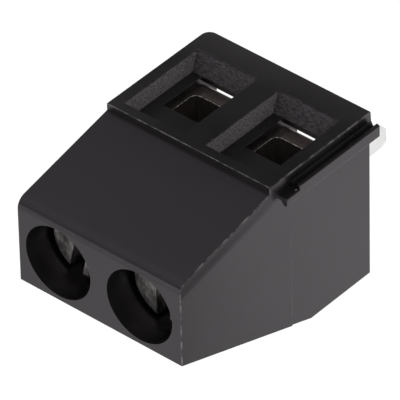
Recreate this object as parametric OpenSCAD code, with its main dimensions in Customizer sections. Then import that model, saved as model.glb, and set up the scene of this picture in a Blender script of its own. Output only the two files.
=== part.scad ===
// Two-pole screw terminal for circuit boards, with rising clamps.
// X runs along the row of poles, the wires come in along +Y, and the screws are turned from +Z.
// The origin is the middle of the face that seats on the board, so the solder pins reach below z = 0.

/* [Poles] */
// Distance from pole to pole
pitch = 5.08; // [4.8:0.02:6]
// Shift of the row of poles from the middle of the body
pole_shift = 0.05; // [0:0.01:0.1]

/* [Housing] */
// Height from the board to the screw face
body_h = 13.95; // [13.5:0.05:16]
// Depth from the wire face to the back
body_d = 9.95; // [9.6:0.05:11]
// Height of the upright wire face
face_h = 7.45; // [7.3:0.05:8]
// Step from the wire face back to the sloped front
face_step = 0.4; // [0.2:0.05:0.6]
// Depth at which the screw face begins
slope_d = 1.85; // [1.6:0.05:2]
// Depth of the screw face from front to back
top_d = 4.85; // [4.7:0.05:5.2]
// Height of the upright part of the back
back_h = 4.45; // [3:0.05:6]
// Round of the edge between the slope and the screw face
edge_r = 0.65; // [0.2:0.05:0.75]
// Round of the board-side edge beside the groove
foot_r = 0.5; // [0.2:0.05:0.6]

/* [Wire entry] */
// Thickness of the web between two entries
web_w = 1.33; // [1.2:0.01:1.8]
// Height of the board-side edge of the entry
entry_z = 1.5; // [1.2:0.05:1.6]
// Height of the entry's mouth
entry_h = 5.4; // [5:0.05:5.6]
// Depth of the entry's floor
entry_d = 1.05; // [0.8:0.05:1.2]
// How far the side walls lean in on the way to the floor
entry_draft = 0.08; // [0:0.01:0.1]
// Thickness of the floor in front of the clamp
floor_t = 0.3; // [0.2:0.02:0.4]
// Width of the wire hole through the floor
hole_w = 2.35; // [1.8:0.05:2.8]
// Height of the lower edge of the wire hole
hole_z = 2; // [1.9:0.05:2.2]
// Height of the wire hole
hole_h = 2.85; // [2.4:0.05:3.1]

/* [Stacking rail] */
// How far the tongue stands out
tongue_out = 0.53; // [0.4:0.01:0.54]
// Distance of the tongue from the wire face
tongue_d = 0.54; // [0.45:0.01:0.6]
// Thickness of the tongue at its tip
tongue_t = 0.72; // [0.6:0.01:0.8]
// Undercut behind the tip on each side
tongue_cut = 0.25; // [0.1:0.01:0.25]
// Length of the tongue from the board up
tongue_l = 5.9; // [4:0.05:6.5]
// Length of the lower lip that follows the tongue
lip_l = 0.95; // [0.4:0.05:1.2]
// Depth of the relief beside the neighbouring block
relief_t = 0.07; // [0.02:0.01:0.08]
// Play of the tongue in the groove
rail_play = 0.02; // [0.01:0.01:0.03]

/* [Screw] */
// Outer diameter of the thread
screw_d = 3; // [2.5:0.1:3.1]
// Diameter of the head
head_d = 3.65; // [3.5:0.05:3.8]
// Height of the head
head_h = 1.35; // [1.2:0.05:1.6]
// Depth of the head below the screw face
head_sink = 1.65; // [1.2:0.05:1.8]
// Width of the slot
slot_w = 0.8; // [0.6:0.05:1]
// Depth of the slot
slot_d = 0.85; // [0.6:0.05:0.95]
// Diameter of the screwdriver bore
bore_d = 4.06; // [3.95:0.02:4.1]
// Distance of the screw from the wire face
screw_y = 4.4; // [4.35:0.05:4.5]
// Turn of the first slot at rest
slot_turn_1 = 1; // [-90:1:90]
// Turn of the second slot at rest
slot_turn_2 = -13; // [-90:1:90]

/* [Clamp] */
// Clear width between the sleeve's sides
window_w = 2.04; // [1.9:0.02:2.1]
// Clear height inside the sleeve
window_h = 3.6; // [3.5:0.05:3.7]
// Wall of the sleeve
wall_t = 0.95; // [0.8:0.01:1]
// Thickness of the tapped roof
roof_t = 1.9; // [1.6:0.05:1.9]
// Length of the sleeve along the wire
clamp_l = 5.7; // [5:0.05:5.7]
// Height of the jaw above the lower edge of the wire hole, at rest
jaw_up = 0.75; // [0.5:0.05:1]
// Inner corner round of the sleeve
window_r = 0.4; // [0.2:0.02:0.5]
// Round of the sleeve's outer edges at its front and back
clamp_edge = 0.2; // [0.05:0.01:0.25]

/* [Contact] */
// Thickness of the contact strip
strip_t = 0.7; // [0.6:0.01:0.72]
// Width of the current bar
bar_w = 1.7; // [1.5:0.02:1.76]
// Width of the solder pin along the wire
pin_w = 1; // [0.8:0.05:1.1]
// Length of the solder pin below the board
pin_l = 3.9; // [3:0.05:5]
// Distance of the pin's front edge from the wire face
pin_y = 4.5; // [4:0.05:5.2]
// Height of the foot above the board
foot_z = 0.2; // [0.1:0.05:0.25]

/* [Clearances] */
// Play of the sleeve in its pocket, on each side
pocket_play = 0.05; // [0.03:0.01:0.1]
// Play of the screw in its seat and in the tapped hole
thread_play = 0.05; // [0.02:0.01:0.08]
// Gap between the front of the sleeve and the entry's floor
clamp_gap = 0.2; // [0.15:0.01:0.3]
// Gap between the tip of the screw and the current bar
tip_gap = 0.2; // [0.1:0.05:0.4]

/* [Hidden] */
$fn = 64;
poles = 2;
over = 1;
arc_n = 6;
body_w = poles * pitch;
entry_w = pitch - web_w;
bar_z = hole_z + hole_h;
jaw_z = hole_z + jaw_up;
clamp_w = window_w + 2 * wall_t;
floor_back = entry_d + floor_t;
clamp_front = screw_y - clamp_l / 2;
clamp_back = screw_y + clamp_l / 2;
pocket_w = clamp_w + 2 * pocket_play;
pocket_front = min(floor_back, clamp_front - clamp_gap);
pocket_back = clamp_back + pocket_play;
seat_z = body_h - head_sink - head_h;
seat_t = 0.6;
pocket_z = seat_z - seat_t;
thread_l = seat_z - bar_z - strip_t - tip_gap;
leg_gap = 0.25;
leg_y = pocket_back + leg_gap;
bend_r = 0.3;
outer_bend_r = bend_r + strip_t;
strip_gap = 0.03;
pole_x = [for (i = [0 : poles - 1]) (i - (poles - 1) / 2) * pitch + pole_shift];

// ---- shapes shared by the pieces ----

function unit(v) = v / norm(v);

// Points of an arc that rounds the corner q between p and s with radius r
function arc_points(p, q, s, r) =
    let (
        a = unit(p - q),
        b = unit(s - q),
        half = acos(a * b) / 2,
        reach = r / tan(half),
        centre = q + unit(a + b) * r / sin(half),
        from = q + a * reach - centre,
        to = q + b * reach - centre,
        sweep = 180 - 2 * half
    )
    [for (i = [0 : arc_n])
        let (t = i / arc_n)
        centre + (from * sin((1 - t) * sweep) + to * sin(t * sweep)) / sin(sweep)];

// Outline through corners given as [x, y, radius]
function outline(corners) =
    let (
        n = len(corners),
        at = [for (c = corners) [c.x, c.y]]
    )
    [for (i = [0 : n - 1])
        let (
            r = corners[i].z,
            p = at[(i + n - 1) % n],
            q = at[i],
            s = at[(i + 1) % n]
        )
        each (r > 0 ? arc_points(p, q, s, r) : [q])];

// Distance from the wire face, as a place along Y
function deep(d) = d - body_d / 2;

// A side outline, drawn as [y, z], pushed out along X about x
module along_x(x, w) {
    translate([x - w / 2, 0, 0])
        rotate([90, 0, 90])
            linear_extrude(w)
                children();
}

// A front outline, drawn as [x, z], pushed out along Y from y to y + l
module along_y(y, l) {
    translate([0, y + l, 0])
        rotate([90, 0, 0])
            linear_extrude(l)
                children();
}

// A box from its lowest corner
module block(x, y, z, size) {
    translate([x, y, z])
        cube(size);
}

// ---- housing ----

// Side outline: upright wire face, step, slope, screw face, sloped back, upright back
module side_outline() {
    polygon(outline([
        [deep(0), 0, 0],
        [deep(body_d), 0, 0],
        [deep(body_d), back_h, 0],
        [deep(slope_d + top_d), body_h, 0],
        [deep(slope_d), body_h, edge_r],
        [deep(face_step), face_h, 0],
        [deep(0), face_h, 0]
    ]));
}

// Front outline with the rounded board-side edge
module front_outline() {
    half = body_w / 2;
    polygon(outline([
        [-half, 0, 0],
        [half, 0, foot_r],
        [half, body_h, 0],
        [-half, body_h, 0]
    ]));
}

module shell() {
    intersection() {
        along_x(0, body_w)
            side_outline();
        along_y(deep(0) - over, body_d + 2 * over)
            front_outline();
    }
}

// Section of the tongue, drawn as [distance out, depth]; play widens it into the groove
module tongue_outline(play, front) {
    out = tongue_out + play;
    neck = out * 0.25;
    shoulder = out * 0.65;
    near = front - play;
    far = tongue_d + tongue_t + play;
    tip_r = 0.08;
    root = tongue_d + tongue_cut;
    polygon(outline([
        [-over / 4, near, 0],
        [0, near, 0],
        [neck, max(near, root - play), 0],
        [shoulder, near, 0],
        [out, near, tip_r],
        [out, far, tip_r],
        [shoulder, far, 0],
        [neck, far - tongue_cut, 0],
        [0, far - tongue_cut, 0],
        [-over / 4, far - tongue_cut, 0]
    ]));
}

// Tongue on the -X side: a full dovetail, then a lower lip above it
module tongue() {
    translate([-body_w / 2, 0, 0])
        mirror([1, 0, 0])
            translate([0, deep(0), 0]) {
                linear_extrude(tongue_l)
                    tongue_outline(0, tongue_d);
                linear_extrude(tongue_l + lip_l)
                    tongue_outline(0, tongue_d + tongue_cut);
            }
}

// Groove on the +X side, open at the board
module groove() {
    translate([body_w / 2, deep(0), -over])
        mirror([1, 0, 0])
            linear_extrude(over + tongue_l + rail_play)
                tongue_outline(rail_play, tongue_d);
}

// Shallow relief behind the tongue, so that stacked blocks seat on their rims
module relief() {
    start = tongue_d + tongue_t;
    block(-body_w / 2 - over, deep(start), -over,
        [over + relief_t, body_d, over + tongue_l]);
}

// Mouth of a wire entry: its board-side wall leans up to the wire hole
module entry(x) {
    top = entry_z + entry_h;
    wide = entry_w / 2;
    tight = wide - entry_draft;
    intersection() {
        along_x(x, entry_w)
            polygon([
                [deep(-over), entry_z - over * (hole_z - entry_z) / entry_d],
                [deep(entry_d), hole_z],
                [deep(entry_d), top],
                [deep(-over), top]
            ]);
        translate([x, deep(0), entry_z - over])
            linear_extrude(entry_h + 2 * over)
                polygon([
                    [-wide, 0],
                    [-wide, -over],
                    [wide, -over],
                    [wide, 0],
                    [tight, entry_d],
                    [-tight, entry_d]
                ]);
    }
    block(x - hole_w / 2, deep(entry_d / 2), hole_z, [hole_w, floor_back, hole_h]);
}

// Pocket for the sleeve, open at the board, with a slot for the contact's leg behind it
module pocket(x) {
    slot_back = leg_y + strip_t + strip_gap;
    slot_w = bar_w + 2 * strip_gap;
    block(x - pocket_w / 2, deep(pocket_front), -over,
        [pocket_w, pocket_back - pocket_front, pocket_z + over]);
    block(x - slot_w / 2, deep(pocket_back - over), -over,
        [slot_w, slot_back - pocket_back + over, bar_z + strip_t + over]);
}

// Nib inside the front wall that the tip of the current bar bears against
module nib(x) {
    nib_h = 0.6;
    nib_d = clamp_front - pocket_front - pocket_play;
    block(x - bar_w / 2, deep(pocket_front - floor_t), bar_z + strip_t,
        [bar_w, nib_d + floor_t, nib_h]);
}

// Screwdriver bore, and the hole under the head
module screw_hole(x) {
    translate([x, deep(screw_y), seat_z])
        cylinder(d = bore_d, h = body_h - seat_z + over);
    translate([x, deep(screw_y), seat_z - seat_t - over])
        cylinder(d = screw_d + 2 * thread_play, h = seat_t + 2 * over);
}

module housing() {
    color("#202022") {
        difference() {
            union() {
                shell();
                tongue();
            }
            groove();
            relief();
            for (x = pole_x) {
                entry(x);
                pocket(x);
                screw_hole(x);
            }
        }
        for (x = pole_x)
            nib(x);
    }
}

// ---- screws ----

// Slotted screw, standing on its seat, with a plain shank at the thread's outer diameter
module screw(i) {
    turn = [slot_turn_1, slot_turn_2];
    rim = 0.15;
    point = 0.3;
    r = screw_d / 2;
    head_r = head_d / 2;
    color("#b9bcbf")
        translate([pole_x[i - 1], deep(screw_y), seat_z])
            rotate([0, 0, turn[i - 1]])
                difference() {
                    rotate_extrude()
                        polygon([
                            [0, -thread_l],
                            [r - point, -thread_l],
                            [r, point - thread_l],
                            [r, 0],
                            [head_r, 0],
                            [head_r, head_h - rim],
                            [head_r - rim, head_h],
                            [0, head_h]
                        ]);
                    block(-slot_w / 2, -head_d, head_h - slot_d,
                        [slot_w, 2 * head_d, slot_d + over]);
                }
}

// ---- clamps ----

// Front outline of the sleeve, with z = 0 at the jaw's upper face
module sleeve_outline() {
    outer = clamp_w / 2;
    inner = window_w / 2;
    jaw_r = window_r + wall_t;
    crown_r = 0.4;
    difference() {
        polygon(outline([
            [-outer, -wall_t, jaw_r],
            [outer, -wall_t, jaw_r],
            [outer, window_h + roof_t, crown_r],
            [-outer, window_h + roof_t, crown_r]
        ]));
        polygon(outline([
            [-inner, 0, window_r],
            [inner, 0, window_r],
            [inner, window_h, window_r],
            [-inner, window_h, window_r]
        ]));
    }
}

// Side outline of the sleeve, rounded where the saw cuts were deburred
module sleeve_side() {
    front = deep(clamp_front);
    back = deep(clamp_back);
    polygon(outline([
        [front, -wall_t, clamp_edge],
        [back, -wall_t, clamp_edge],
        [back, window_h + roof_t, clamp_edge],
        [front, window_h + roof_t, clamp_edge]
    ]));
}

// Sleeve cut from an extruded profile; the tapped hole runs out into its sides
module clamp(i) {
    hole_stop = 0.8;
    color("#a9a6a0")
        translate([pole_x[i - 1], 0, jaw_z])
            difference() {
                intersection() {
                    along_y(deep(clamp_front), clamp_l)
                        sleeve_outline();
                    along_x(0, clamp_w + over)
                        sleeve_side();
                }
                translate([0, deep(screw_y), hole_stop])
                    cylinder(d = screw_d + 2 * thread_play, h = window_h + roof_t);
            }
}

// ---- contacts ----

// Side outline of the bent strip: current bar, leg behind the sleeve, foot under it
module strip_outline() {
    back = leg_y + strip_t;
    tip = pocket_front + strip_gap;
    top = bar_z + strip_t;
    polygon(outline([
        [deep(tip), bar_z, 0],
        [deep(leg_y), bar_z, bend_r],
        [deep(leg_y), foot_z + strip_t, bend_r],
        [deep(pin_y), foot_z + strip_t, 0],
        [deep(pin_y), foot_z, 0],
        [deep(back), foot_z, outer_bend_r],
        [deep(back), top, 0.1],
        [deep(tip), top, 0]
    ]));
}

// Solder pin, folded down from one side of the foot, with a lead-in at its tip
module solder_pin() {
    front = deep(pin_y);
    back = front + pin_w;
    lead_r = 0.45;
    fold_r = 0.35;
    intersection() {
        along_x(0, strip_t)
            polygon(outline([
                [front, foot_z + strip_t, 0],
                [back, foot_z + strip_t, 0],
                [back, -pin_l, lead_r],
                [front, -pin_l, 0.1]
            ]));
        along_y(front - over, pin_w + 2 * over)
            polygon(outline([
                [-strip_t / 2, -pin_l, 0.1],
                [strip_t / 2, -pin_l, lead_r],
                [strip_t / 2, foot_z + strip_t, fold_r],
                [-strip_t / 2, foot_z + strip_t, 0]
            ]));
    }
}

module contact(i) {
    color("#c6c8c6")
        translate([pole_x[i - 1], 0, 0]) {
            difference() {
                along_x(0, bar_w)
                    strip_outline();
                block(-strip_t / 2, deep(pin_y) - over, foot_z - over,
                    [bar_w, pin_w + 0.15 + over, strip_t + 2 * over]);
            }
            solder_pin();
        }
}

housing();
screw(1);  // screw_1
screw(2);  // screw_2
clamp(1);  // clamp_1
clamp(2);  // clamp_2
contact(1);  // contact_1
contact(2);  // contact_2
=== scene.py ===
import math

import bmesh
import bpy
from mathutils import Matrix, Vector


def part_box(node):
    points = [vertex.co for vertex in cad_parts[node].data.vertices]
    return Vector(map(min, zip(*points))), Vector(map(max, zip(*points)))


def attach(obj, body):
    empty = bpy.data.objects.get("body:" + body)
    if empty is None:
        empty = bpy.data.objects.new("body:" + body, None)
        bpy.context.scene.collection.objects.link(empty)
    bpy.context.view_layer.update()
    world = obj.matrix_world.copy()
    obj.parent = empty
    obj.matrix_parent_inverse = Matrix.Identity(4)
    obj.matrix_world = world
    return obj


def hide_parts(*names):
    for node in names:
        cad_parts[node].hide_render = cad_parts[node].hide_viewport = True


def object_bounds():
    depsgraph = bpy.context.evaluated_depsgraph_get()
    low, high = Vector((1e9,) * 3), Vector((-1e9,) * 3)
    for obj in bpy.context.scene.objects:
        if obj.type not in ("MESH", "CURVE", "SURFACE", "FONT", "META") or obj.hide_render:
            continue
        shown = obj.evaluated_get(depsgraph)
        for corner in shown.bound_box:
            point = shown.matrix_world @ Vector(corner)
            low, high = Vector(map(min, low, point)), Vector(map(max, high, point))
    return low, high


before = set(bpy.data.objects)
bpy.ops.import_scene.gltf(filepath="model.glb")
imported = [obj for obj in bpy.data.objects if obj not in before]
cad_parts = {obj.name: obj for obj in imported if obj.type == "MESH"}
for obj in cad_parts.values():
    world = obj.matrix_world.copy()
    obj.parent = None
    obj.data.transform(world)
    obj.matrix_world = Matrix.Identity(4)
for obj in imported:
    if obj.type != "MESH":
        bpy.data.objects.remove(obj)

cad_low, cad_high = [list(corner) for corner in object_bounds()]
MM = 0.001

# ---- Camera ----
# Looks down on the wire entries and the screws from the tongue's side.
# It is turned so that the block lies on its back in the frame.
camera_data = bpy.data.cameras.new("camera")
camera_data.sensor_width = 36.0
camera_data.lens = 614.0
camera_data.clip_start = 0.01
camera_data.clip_end = 10.0
camera = bpy.data.objects.new("camera", camera_data)
bpy.context.scene.collection.objects.link(camera)
right = Vector((-0.75974655, 0.01781971, -0.64997511))
up = Vector((0.39906055, -0.77643896, -0.48774299))
back = Vector((-0.51335743, -0.62994047, 0.58278568))
camera_x = -166.661 * MM
camera_y = -205.663 * MM
camera_z = 195.854 * MM
camera.matrix_world = Matrix((
    (right.x, up.x, back.x, camera_x),
    (right.y, up.y, back.y, camera_y),
    (right.z, up.z, back.z, camera_z),
    (0, 0, 0, 1),
))
bpy.context.scene.camera = camera

# ---- Housing ----
# One black thermoplastic moulding, satin on its drawn faces and eroded in the wire entries.
# Its outer edges have small rounds, painted pale as a highlight. The bores' edges stay sharp.
wire_face_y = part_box("housing")[0][1]
pole_centres = [(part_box(name)[0][0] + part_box(name)[1][0]) / 2 for name in ("screw_1", "screw_2")]
screw_y = (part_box("screw_1")[0][1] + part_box("screw_1")[1][1]) / 2
side_x = -5.08 * MM
bore_r = 2.03 * MM
bore_mouth_z = cad_high[2]
slope_foot_y = wire_face_y + 0.4 * MM
slope_foot_z = 7.45 * MM
slope_dir = Vector((1.45, 6.5)).normalized()
entry_half_w = 1.9 * MM
entry_rim_y = wire_face_y + 0.05 * MM
entry_floor_y = wire_face_y + 1.045 * MM
entry_low_z = 1.45 * MM
entry_high_z = 6.95 * MM
housing_round = 0.055 * MM
side_share, plain_share, lip_share, entry_share = 1.0, 0.64, 0.22, 0.2


class Nodes:
    """Builds a node tree, one call a node. A value is a number or another node's output."""

    def __init__(self, tree):
        self.tree = tree

    def add(self, kind, inputs=None, **settings):
        node = self.tree.nodes.new(kind)
        for key, value in settings.items():
            setattr(node, key, value)
        for key, value in (inputs or {}).items():
            if isinstance(value, bpy.types.NodeSocket):
                self.tree.links.new(value, node.inputs[key])
            else:
                node.inputs[key].default_value = value
        return node

    def maths(self, operation, *values, clamp=False):
        return self.add("ShaderNodeMath", dict(enumerate(values)), operation=operation,
                        use_clamp=clamp).outputs[0]

    def product(self, first, *others):
        for value in others:
            first = self.maths("MULTIPLY", first, value)
        return first

    def axes(self, vector):
        return self.add("ShaderNodeSeparateXYZ", {0: vector}).outputs

    def within(self, value, low, high):
        return self.product(self.maths("GREATER_THAN", value, low), self.maths("LESS_THAN", value, high))

    def apart(self, value, centre):
        return self.maths("ABSOLUTE", self.maths("SUBTRACT", value, centre))

    def distance(self, x, y, centre_x, centre_y):
        across = self.maths("POWER", self.maths("SUBTRACT", x, centre_x), 2.0)
        along = self.maths("POWER", self.maths("SUBTRACT", y, centre_y), 2.0)
        return self.maths("SQRT", self.maths("ADD", across, along))


class Marks(Nodes):
    """Geometry nodes that give each outer edge its share of the round and keep other corners sharp."""

    def __init__(self, name):
        super().__init__(bpy.data.node_groups.new(name, "GeometryNodeTree"))
        for side in ("INPUT", "OUTPUT"):
            self.tree.interface.new_socket("Geometry", in_out=side, socket_type="NodeSocketGeometry")
        corner = math.radians(20)
        bend = self.add("GeometryNodeInputMeshEdgeAngle").outputs
        self.place = self.add("GeometryNodeInputPosition").outputs[0]
        self.sharp = self.maths("GREATER_THAN", bend["Unsigned Angle"], corner)
        self.share = self.maths("GREATER_THAN", bend["Signed Angle"], corner)

    def finish(self):
        """Stores both marks on the edges and returns the group."""
        square = self.product(self.sharp, self.maths("LESS_THAN", self.share, 0.01))
        mesh = self.add("NodeGroupInput").outputs[0]
        for name, kind, value in (("bevel_weight_edge", "FLOAT", self.share),
                                  ("sharp_edge", "BOOLEAN", square)):
            mesh = self.add("GeometryNodeStoreNamedAttribute",
                            {"Name": name, "Value": value, "Geometry": mesh},
                            data_type=kind, domain="EDGE").outputs[0]
        self.add("NodeGroupOutput", {0: mesh})
        return self.tree


class Finish(Nodes):
    """One material, built around its main shader."""

    def __init__(self, name):
        self.material = bpy.data.materials.new(name)
        self.material.use_nodes = True
        super().__init__(self.material.node_tree)
        self.shader = self.tree.nodes["Principled BSDF"]
        self.place = self.add("ShaderNodeTexCoord").outputs["Object"]

    def stretched(self, x, y, z):
        return self.add("ShaderNodeVectorMath", {0: self.place, 1: (x, y, z)},
                        operation="MULTIPLY").outputs[0]

    def noise(self, place, scale, detail=3.0, roughness=0.55):
        return self.add("ShaderNodeTexNoise",
                        {"Vector": place, "Scale": scale, "Detail": detail,
                         "Roughness": roughness}).outputs["Fac"]

    def ramp(self, value, low, high, out_low=0.0, out_high=1.0):
        return self.add("ShaderNodeMapRange",
                        {"Value": value, "From Min": low, "From Max": high,
                         "To Min": out_low, "To Max": out_high},
                        interpolation_type="SMOOTHSTEP").outputs["Result"]

    def blend(self, share, first, second):
        return self.add("ShaderNodeMix", {0: share, 6: first, 7: second}, data_type="RGBA").outputs[2]

    def link(self, value, socket):
        self.tree.links.new(value, self.shader.inputs[socket])

    def bump(self, height):
        relief = self.add("ShaderNodeBump", {"Height": height, "Strength": 1.0, "Distance": 1.0})
        self.link(relief.outputs[0], "Normal")


def entry_walls(black, x, y, z):
    """1 inside the wire entries and 0 elsewhere."""
    beside = [black.maths("LESS_THAN", black.apart(x, centre), entry_half_w) for centre in pole_centres]
    return black.product(black.maths("MAXIMUM", *beside),
                         black.within(y, entry_rim_y, entry_floor_y),
                         black.within(z, entry_low_z, entry_high_z))


def painted_bore_shade(black, x, y, z):
    """Share of painted shade: 1 deep in the screw bores, less at their mouths and 0 elsewhere."""
    inside = [black.maths("LESS_THAN", black.distance(x, y, centre, screw_y), bore_r + 0.01 * MM)
              for centre in pole_centres]
    shade_with_depth = black.ramp(z, bore_mouth_z - 1.2 * MM, bore_mouth_z - 0.1 * MM, 1.0, 0.4)
    return black.product(black.maths("MAXIMUM", *inside), shade_with_depth)


def flank_sink(black, y, z, facing_x):
    """Height in mm of the two flanks, which sink a little beside the slope."""
    inward = black.maths("SUBTRACT",
                         black.product(black.maths("SUBTRACT", y, slope_foot_y), slope_dir[1]),
                         black.product(black.maths("SUBTRACT", z, slope_foot_z), slope_dir[0]))
    on_flank = black.maths("GREATER_THAN", black.maths("ABSOLUTE", facing_x), 0.95)
    upper = black.ramp(z, slope_foot_z - 2 * MM, slope_foot_z + 1 * MM)
    return black.product(black.ramp(inward, 0.0, 0.9 * MM, -0.07, 0.0), on_flank, upper)


def black_plastic():
    """Satin black, pale and grained on the eroded walls with painted light on those facing sideways, and
    with painted shade deep in the bores.
    """
    black = Finish("black_plastic")
    x, y, z = black.axes(black.place)
    facing_x, facing_y, facing_z = black.axes(black.add("ShaderNodeTexCoord").outputs["Normal"])
    in_entry = entry_walls(black, x, y, z)
    grain = black.noise(black.stretched(0.4, 1.0, 1.0), 12000.0, 4.0, 0.65)
    cloud = black.noise(black.place, 420.0, 3.0, 0.5)
    colour = black.blend(black.ramp(cloud, 0.3, 0.7), (0.0105, 0.0100, 0.0105, 1),
                         (0.0140, 0.0134, 0.0140, 1))

    # The eroded walls are pale and grained; those facing sideways are painted paler still, as painted
    # light.
    off_floor = black.ramp(black.maths("ABSOLUTE", facing_y), 0.5, 0.8, 1.0, 0.05)
    painted_light_on_cheeks = black.ramp(black.maths("ABSOLUTE", facing_x), 0.5, 0.8, 0.32, 1.05)
    speckle = black.ramp(grain, 0.38, 0.64, 0.25, 1.25)
    eroded_and_painted_light = black.product(in_entry, off_floor, painted_light_on_cheeks, speckle)
    colour = black.blend(eroded_and_painted_light, colour, (0.240, 0.226, 0.236, 1))

    dust = black.add("ShaderNodeTexVoronoi", {"Vector": black.place, "Scale": 1100.0, "Randomness": 1.0})
    kept = black.maths("GREATER_THAN", black.axes(dust.outputs["Color"])[0], 0.965)
    speck = black.product(kept, black.maths("LESS_THAN", dust.outputs["Distance"], 0.075), 0.5)
    colour = black.blend(speck, colour, (0.30, 0.28, 0.27, 1))
    # Painted shade darkens the bore walls, most deep down.
    colour = black.blend(painted_bore_shade(black, x, y, z), colour, (0.0035, 0.0032, 0.0034, 1))
    black.link(colour, "Base Color")

    gloss_loss = black.product(in_entry, 0.25)
    black.link(black.maths("ADD", black.ramp(cloud, 0.25, 0.75, 0.26, 0.32), gloss_loss), "Roughness")
    relief = black.product(grain, black.maths("ADD", 0.0012, black.product(in_entry, 0.012)))
    relief = black.maths("ADD", relief, flank_sink(black, y, z, facing_x))
    black.bump(black.product(relief, MM))
    black.shader.inputs["IOR"].default_value = 1.5
    black.shader.inputs["Specular Tint"].default_value = (1.0, 0.89, 0.98, 1)
    return black.material


def rubbed_black_edge():
    """The same plastic, painted paler on its edges as a highlight, here more and there less."""
    edge_highlight = Finish("rubbed_black_edge")
    # Painted highlight on the edges, broken up by noise.
    broken_highlight = edge_highlight.ramp(edge_highlight.noise(edge_highlight.place, 1600.0, 4.0, 0.7), 0.4, 0.62)
    edge_highlight.link(edge_highlight.blend(broken_highlight, (0.022, 0.021, 0.022, 1), (0.16, 0.15, 0.155, 1)), "Base Color")
    edge_highlight.shader.inputs["Roughness"].default_value = 0.5
    edge_highlight.shader.inputs["Specular Tint"].default_value = (1.0, 0.89, 0.98, 1)
    return edge_highlight.material


def housing_edges():
    """Full rounds on the tongue's side, slight ones on its lip and in the entries, none in the bores."""
    marks = Marks("housing_edges")
    x, y, z = marks.axes(marks.place)
    on_side = marks.maths("LESS_THAN", x, side_x + 0.15 * MM)
    off_tongue = marks.maths("SUBTRACT", 1.0, marks.maths("LESS_THAN", x, side_x - 0.02 * MM))
    on_lip = marks.maths("LESS_THAN", x, side_x - 0.48 * MM)
    level = marks.maths("MULTIPLY_ADD", on_side, side_share - plain_share, plain_share)
    level = marks.maths("MULTIPLY_ADD", on_lip, lip_share, marks.product(level, off_tongue))
    marks.share = marks.product(marks.share, level)
    before_floor = marks.maths("LESS_THAN", y, wire_face_y + 1.2 * MM)
    below_top = marks.maths("LESS_THAN", z, entry_high_z + 0.1 * MM)
    for centre in pole_centres:
        off_bore = marks.maths("GREATER_THAN", marks.distance(x, y, centre, screw_y), bore_r + 0.03 * MM)
        beside = marks.maths("LESS_THAN", marks.apart(x, centre), entry_half_w + 0.1 * MM)
        in_entry = marks.product(beside, before_floor, below_top)
        less = marks.maths("MULTIPLY_ADD", in_entry, entry_share - 1.0, 1.0)
        marks.share = marks.product(marks.share, off_bore, less)
    return marks.finish()


def dress(name, face, marks, width, edge_finish=None):
    """Gives a solid its faces' finish and rounds its marked edges by width; the last argument is their
    finish, a painted highlight where it is pale.
    """
    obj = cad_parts[name]
    obj.data.materials.clear()
    obj.data.materials.append(face)
    weld = obj.modifiers.new("weld", "WELD")
    weld.merge_threshold = 1e-6
    flat = obj.modifiers.new("flat_faces", "DECIMATE")
    flat.decimate_type = "DISSOLVE"
    flat.angle_limit = math.radians(0.6)
    outer = obj.modifiers.new("outer_edges", "NODES")
    outer.node_group = marks
    bevel = obj.modifiers.new("edge_round", "BEVEL")
    bevel.width = width
    bevel.segments = 3
    bevel.limit_method = "WEIGHT"
    bevel.use_clamp_overlap = False
    bevel.loop_slide = False
    bevel.harden_normals = True
    if edge_finish:
        obj.data.materials.append(edge_finish)
        bevel.material = len(obj.data.materials) - 1
    normals = obj.modifiers.new("face_normals", "WEIGHTED_NORMAL")
    normals.keep_sharp = True
    normals.weight = 80


dress("housing", black_plastic(), housing_edges(), housing_round, rubbed_black_edge())

# ---- Screws ----
# Slotted M3 screws, zinc plated steel, turned head, rolled thread of 0.5 mm pitch.
# Each stands on its seat in the housing and draws its clamp up.
head_r = 1.825 * MM
head_h = 1.35 * MM
head_rim = 0.15 * MM
head_under_edge = 0.04 * MM
slot_half_w = 0.4 * MM
slot_depth = 0.85 * MM
crest_r = 1.5 * MM
root_r = 1.21 * MM
tip_chamfer = 0.18 * MM
thread_pitch = 0.5 * MM
tip_run_out = 0.5 * MM
seat_run_out = 0.45 * MM
screw_sides = 64
thread_rows = 168
screw_turns = {"screw_1": 1, "screw_2": -13}


def zinc_plated_steel():
    """Grey plating, mottled and drawn out along the tool's marks."""
    zinc = Finish("zinc_plated_steel")
    cloud = zinc.noise(zinc.place, 900.0, 3.0)
    streak = zinc.noise(zinc.stretched(1.0, 0.35, 1.0), 7000.0, 4.0, 0.7)
    mottle = zinc.maths("ADD", zinc.product(cloud, 0.45), zinc.product(streak, 0.55))
    zinc.link(zinc.blend(zinc.ramp(mottle, 0.40, 0.60), (0.27, 0.26, 0.25, 1), (0.66, 0.64, 0.62, 1)),
              "Base Color")
    zinc.link(zinc.ramp(cloud, 0.2, 0.8, 0.28, 0.42), "Roughness")
    zinc.shader.inputs["Metallic"].default_value = 1.0
    return zinc.material


def thread_r(z, part_of_turn, tip_z, seat_z):
    """The thread's radius at one height and part of a turn. It runs out at both ends."""
    phase = ((z - tip_z) / thread_pitch + part_of_turn) % 1.0
    flank = min(1.0, max(0.0, (0.5 - abs(phase - 0.5)) * 2.5 - 0.12))
    run_out = min(1.0, (z - tip_z) / tip_run_out, (seat_z - z) / seat_run_out)
    return root_r + (crest_r - root_r) * flank * max(0.0, run_out)


def screw_rings(tip_z, seat_z, top_z):
    """Rings of radius and height from the tip's chamfer up the thread and over the head."""
    rings = [[(root_r - tip_chamfer, tip_z)] * screw_sides]
    for i in range(thread_rows + 1):
        z = tip_z + (seat_z - tip_z) * i / thread_rows
        rings.append([(thread_r(z, k / screw_sides, tip_z, seat_z), z) for k in range(screw_sides)])
    for r, z in ((head_r - head_under_edge, seat_z),
                 (head_r, seat_z + head_under_edge),
                 (head_r, top_z - head_rim),
                 (head_r - 0.045 * MM, top_z - 0.05 * MM),
                 (head_r - head_rim, top_z)):
        rings.append([(r, z)] * screw_sides)
    return rings


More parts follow.
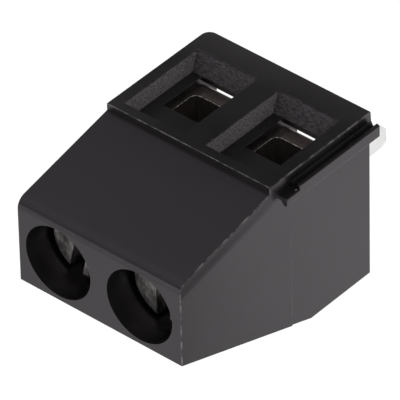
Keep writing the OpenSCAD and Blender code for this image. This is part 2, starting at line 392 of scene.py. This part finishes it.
def turned_mesh(name, rings):
    """Joins the rings into one closed skin."""
    mesh = bmesh.new()
    grid = []
    for ring in rings:
        row = []
        for k, (r, z) in enumerate(ring):
            angle = 2 * math.pi * k / screw_sides
            row.append(mesh.verts.new((r * math.cos(angle), r * math.sin(angle), z)))
        grid.append(row)
    for lower, upper in zip(grid, grid[1:]):
        for k in range(screw_sides):
            n = (k + 1) % screw_sides
            mesh.faces.new((lower[k], lower[n], upper[n], upper[k]))
    mesh.faces.new(list(reversed(grid[0])))
    mesh.faces.new(grid[-1])
    data = bpy.data.meshes.new(name)
    mesh.to_mesh(data)
    mesh.free()
    return data


def put_in_scene(name, data):
    obj = bpy.data.objects.new(name, data)
    bpy.context.scene.collection.objects.link(obj)
    return obj


def saw_slot(screw, top_z):
    """Cuts the slot across the head."""
    blade = bmesh.new()
    bmesh.ops.create_cube(blade, size=1.0)
    bmesh.ops.scale(blade, vec=(2 * slot_half_w, 6 * MM, 2 * slot_depth), verts=blade.verts)
    bmesh.ops.translate(blade, vec=(0, 0, top_z), verts=blade.verts)
    blade_data = bpy.data.meshes.new("slot_saw")
    blade.to_mesh(blade_data)
    blade.free()
    saw = put_in_scene("slot_saw", blade_data)
    cut = screw.modifiers.new("slot", "BOOLEAN")
    cut.operation = "DIFFERENCE"
    cut.solver = "EXACT"
    cut.object = saw
    bpy.context.view_layer.update()
    slotted = bpy.data.meshes.new_from_object(screw.evaluated_get(bpy.context.evaluated_depsgraph_get()))
    screw.modifiers.clear()
    screw.data = slotted
    bpy.data.objects.remove(saw)


def turned_screw(name, node, turn, plating):
    """A slotted head on a threaded shank at the node's place; turn is the slot's angle in degrees."""
    low, high = [Vector(corner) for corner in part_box(node)]
    screw = put_in_scene(name, turned_mesh(name, screw_rings(low.z, high.z - head_h, high.z)))
    saw_slot(screw, high.z)
    middle = (low + high) / 2
    turned = Matrix.Rotation(math.radians(turn), 4, "Z")
    screw.data.transform(Matrix.Translation((middle.x, middle.y, 0)) @ turned)
    for face in screw.data.polygons:
        face.use_smooth = True
    screw.data.materials.clear()
    screw.data.materials.append(plating)
    bevel = screw.modifiers.new("edge_round", "BEVEL")
    bevel.width = 0.06 * MM
    bevel.segments = 2
    bevel.limit_method = "ANGLE"
    bevel.angle_limit = math.radians(50)
    normals = screw.modifiers.new("face_normals", "WEIGHTED_NORMAL")
    normals.weight = 80
    return screw


zinc = zinc_plated_steel()
for name, turn in screw_turns.items():
    piece = turned_screw(name + "_threaded", name, turn, zinc)
    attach(piece, name)
    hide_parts(name)

# ---- Clamps ----
# Sleeves sawn from an extruded brass profile and nickel plated, tapped through the roof.
# They slide in the housing's pockets and press the wire against the current bar.
clamp_burr = 0.022 * MM


def nickel_plated_brass():
    """Warm, slightly clouded plating."""
    nickel = Finish("nickel_plated_brass")
    cloud = nickel.noise(nickel.place, 700.0, 4.0)
    nickel.link(nickel.blend(nickel.ramp(cloud, 0.3, 0.7), (0.34, 0.29, 0.265, 1), (0.42, 0.365, 0.335, 1)),
                "Base Color")
    nickel.link(nickel.ramp(cloud, 0.2, 0.8, 0.18, 0.26), "Roughness")
    nickel.shader.inputs["Metallic"].default_value = 0.92
    return nickel.material


def bright_sawn_edge():
    """The burr that the saw leaves, rough, with painted glints in places."""
    burr = Finish("bright_sawn_edge")
    painted_glint = burr.noise(burr.place, 7000.0, 3.0, 0.7)
    # Near-white patches are painted glints on the darker burr.
    burr.link(burr.blend(burr.ramp(painted_glint, 0.42, 0.58), (0.20, 0.18, 0.15, 1), (0.98, 0.97, 0.94, 1)),
              "Base Color")
    burr.shader.inputs["Metallic"].default_value = 1.0
    burr.shader.inputs["Roughness"].default_value = 0.6
    burr.bump(burr.product(painted_glint, 0.03 * MM))
    return burr.material


plain_edges = Marks("plain_edges").finish()
nickel = nickel_plated_brass()
burr = bright_sawn_edge()
for name in ("clamp_1", "clamp_2"):
    dress(name, nickel, plain_edges, clamp_burr, burr)

# ---- Contacts ----
# Strips stamped and bent from tin plated brass: current bar, leg, foot and solder pin.
# They are pressed into the housing from the board side.
contact_round = 0.04 * MM


def tin_plated_brass():
    """Pale matt tin with a faint cloud."""
    tin = Finish("tin_plated_brass")
    cloud = tin.noise(tin.place, 500.0, 4.0)
    tin.link(tin.blend(tin.ramp(cloud, 0.3, 0.7), (0.74, 0.75, 0.74, 1), (0.86, 0.86, 0.85, 1)),
             "Base Color")
    tin.link(tin.ramp(cloud, 0.2, 0.8, 0.30, 0.36), "Roughness")
    tin.shader.inputs["Metallic"].default_value = 1.0
    return tin.material


tin = tin_plated_brass()
for name in ("contact_1", "contact_2"):
    dress(name, tin, plain_edges, contact_round)

# ---- Studio ----
# A white floor at the pins' tips and a white surround for the camera. The floor glows in the block's
# reflections, a painted reflection that is darker in places, and the surround is darker in some directions.
# Two soft lamps light the block.
floor_z = cad_low[2]
floor_reach = 0.8
surround_levels = ((0.05, 0.60), (0.18, 0.85), (0.36, 0.30), (0.55, 0.40), (0.80, 0.86))
block_middle = Vector((0, 0, 0.006))


def white_paper():
    """White for the camera and shaded by the block. In the block's reflections it glows, a painted
    reflection that is softer and darker in places.
    """
    paper = Finish("white_paper")
    rays = paper.add("ShaderNodeLightPath").outputs
    across, depth = paper.axes(paper.place)[:2]
    # Painted reflection: how strongly the paper glows in the block's reflections, place by place.
    strip = paper.product(paper.ramp(depth, -11 * MM, -8.5 * MM, 0.03, 0.42),
                          paper.ramp(across, -4 * MM, 10 * MM, 0.75, 1.25))
    corner = paper.product(paper.ramp(across, 10 * MM, 18 * MM, 0.0, 0.35),
                           paper.maths("GREATER_THAN", depth, -25 * MM))
    behind = paper.product(paper.ramp(depth, -4 * MM, -1 * MM, 0.0, 1.0),
                           paper.ramp(across, -24 * MM, -20 * MM, 0.2, 1.0),
                           paper.ramp(depth, 6 * MM, 24 * MM, 1.0, 0.80))
    far = paper.ramp(depth, -25 * MM, -45 * MM, 0.0, 0.55)
    fade = paper.maths("MAXIMUM", paper.maths("MAXIMUM", strip, corner),
                       paper.maths("MAXIMUM", behind, far))
    painted_reflection_glow = paper.maths("ADD", rays["Is Camera Ray"], paper.product(rays["Is Glossy Ray"], fade))
    painted_reflection_glow = paper.maths("ADD", painted_reflection_glow, rays["Is Transmission Ray"], clamp=True)
    light = paper.add("ShaderNodeEmission", {"Color": (1, 1, 1, 1), "Strength": painted_reflection_glow})
    # The paper is near black where seen directly or in reflections, where its glow stands in, and pale for
    # bounced light.
    seen = paper.maths("ADD", rays["Is Camera Ray"], rays["Is Glossy Ray"], clamp=True)
    paper.link(paper.blend(seen, (0.85, 0.85, 0.85, 1), (0.05, 0.05, 0.05, 1)), "Base Color")
    paper.shader.inputs["Roughness"].default_value = 1.0
    paper.shader.inputs["Specular IOR Level"].default_value = 0.0
    both = paper.add("ShaderNodeAddShader", {0: paper.shader.outputs[0], 1: light.outputs[0]})
    paper.tree.links.new(both.outputs[0], paper.tree.nodes["Material Output"].inputs["Surface"])
    return paper.material


def white_surround():
    """White for the camera; elsewhere its level follows the direction from the wire side to the back."""
    world = bpy.data.worlds.new("surround")
    world.use_nodes = True
    surround = Nodes(world.node_tree)
    sky = surround.tree.nodes["Background"]
    rays = surround.add("ShaderNodeLightPath").outputs
    to_back = surround.axes(surround.add("ShaderNodeTexCoord").outputs["Generated"])[1]
    spread = surround.add("ShaderNodeMapRange", {"Value": to_back, "From Min": -1.0, "From Max": 1.0})
    fade = surround.add("ShaderNodeValToRGB", {"Fac": spread.outputs[0]})
    fade.color_ramp.interpolation = "B_SPLINE"
    spots = fade.color_ramp.elements
    for number, (where, level) in enumerate(surround_levels):
        if number > 1:
            spots.new(where)
        spots[number].position = where
        spots[number].color = (level, level, level, 1)
    shown = surround.maths("MAXIMUM", rays["Is Camera Ray"], fade.outputs[0])
    sky.inputs["Color"].default_value = (1, 1, 1, 1)
    surround.tree.links.new(shown, sky.inputs["Strength"])
    return world


def soft_lamp(name, place, size, power):
    """A square soft lamp that looks at the block."""
    data = bpy.data.lights.new(name, "AREA")
    data.size = size
    data.energy = power
    lamp = put_in_scene(name, data)
    lamp.location = place
    lamp.rotation_euler = (block_middle - Vector(place)).to_track_quat("-Z", "Y").to_euler()


floor_mesh = bpy.data.meshes.new("floor")
floor_corners = [(-floor_reach, -floor_reach, floor_z), (floor_reach, -floor_reach, floor_z),
                 (floor_reach, floor_reach, floor_z), (-floor_reach, floor_reach, floor_z)]
floor_mesh.from_pydata(floor_corners, [], [(0, 1, 2, 3)])
floor = put_in_scene("floor", floor_mesh)
floor_mesh.materials.append(white_paper())
bpy.context.scene.world = white_surround()
soft_lamp("side_lamp", (-0.175, 0.189, 0.168), 0.09, 0.14)
soft_lamp("top_lamp", (0.05, 0.05, 0.30), 0.15, 0.25)

bpy.context.scene.view_settings.view_transform = "Standard"
